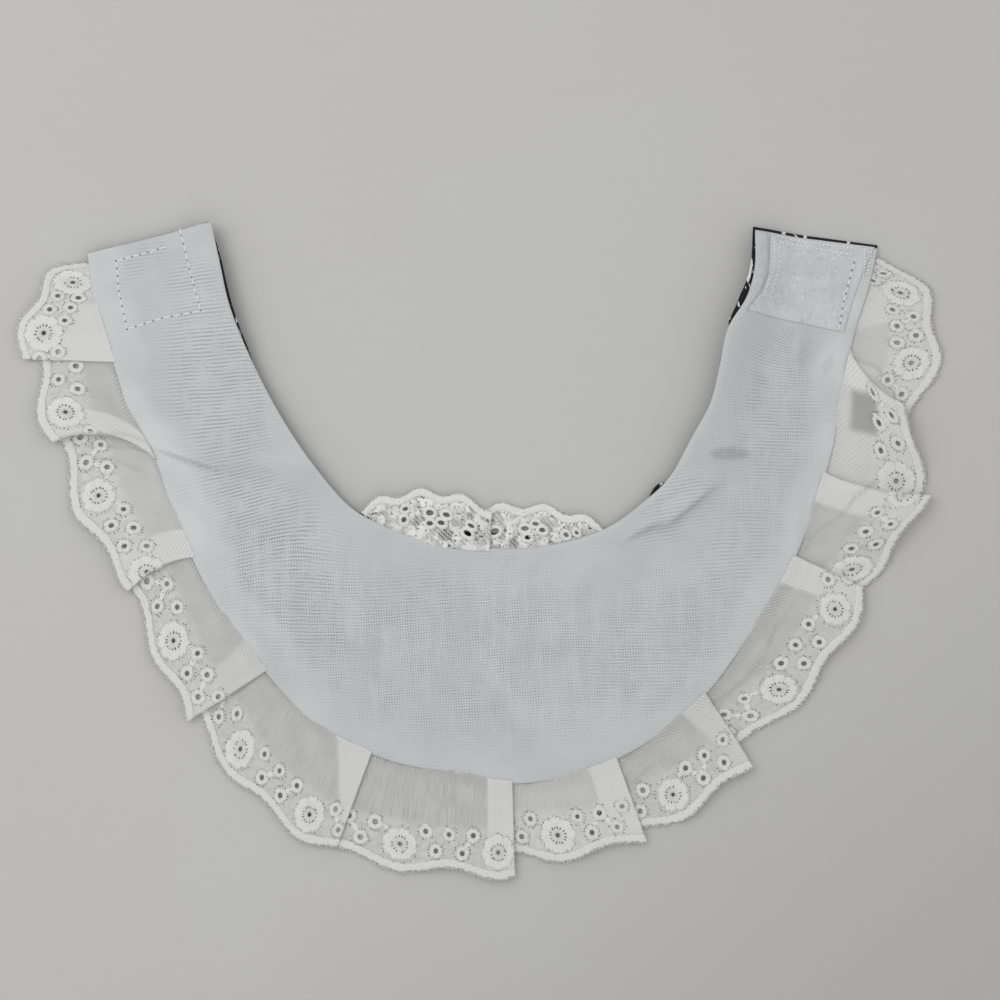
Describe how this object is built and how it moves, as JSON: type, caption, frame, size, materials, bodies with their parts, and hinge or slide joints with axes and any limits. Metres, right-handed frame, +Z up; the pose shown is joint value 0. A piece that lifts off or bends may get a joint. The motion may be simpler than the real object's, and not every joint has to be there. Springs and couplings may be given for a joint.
{
  "type": "pet scarf collar",
  "caption": "Crescent bib collar for a pet, laid face down, with a voile lining, pleated eyelet ruffle, scalloped neck lace and a hook and loop fastening.",
  "frame": {"origin": "middle of the laid-out collar's bounding box, on the table surface it lies on", "axes": "+X from the left horn to the right one, +Y from the middle of the bib towards the neck opening, +Z up off the table, out of the lining"},
  "size_m": [0.2626, 0.1866, 0.0068],
  "materials": {
    "printed_cotton": "plain-woven white cotton with a black brush-stroke print on its outer side",
    "lining_voile": "thin cool-white voile, slightly see-through, with a fine ribbed weave",
    "eyelet_voile": "warm-white voile embroidered along its scalloped hem with satin-stitched eyelets and flowers",
    "frill_lace": "thick cotton lace with a satin-stitched scalloped edge",
    "loop_tape": "brushed nylon loop pile, bluish white and matt",
    "hook_tape": "woven nylon tape with rows of small clear hooks"
  },
  "bodies": {
    "root": {"face_panel": "printed_cotton", "lining": "lining_voile", "ruffle": "eyelet_voile", "neck_lace": "frill_lace", "loop_patch": "loop_tape", "hook_patch": "hook_tape"}
  },
  "joints": []
}
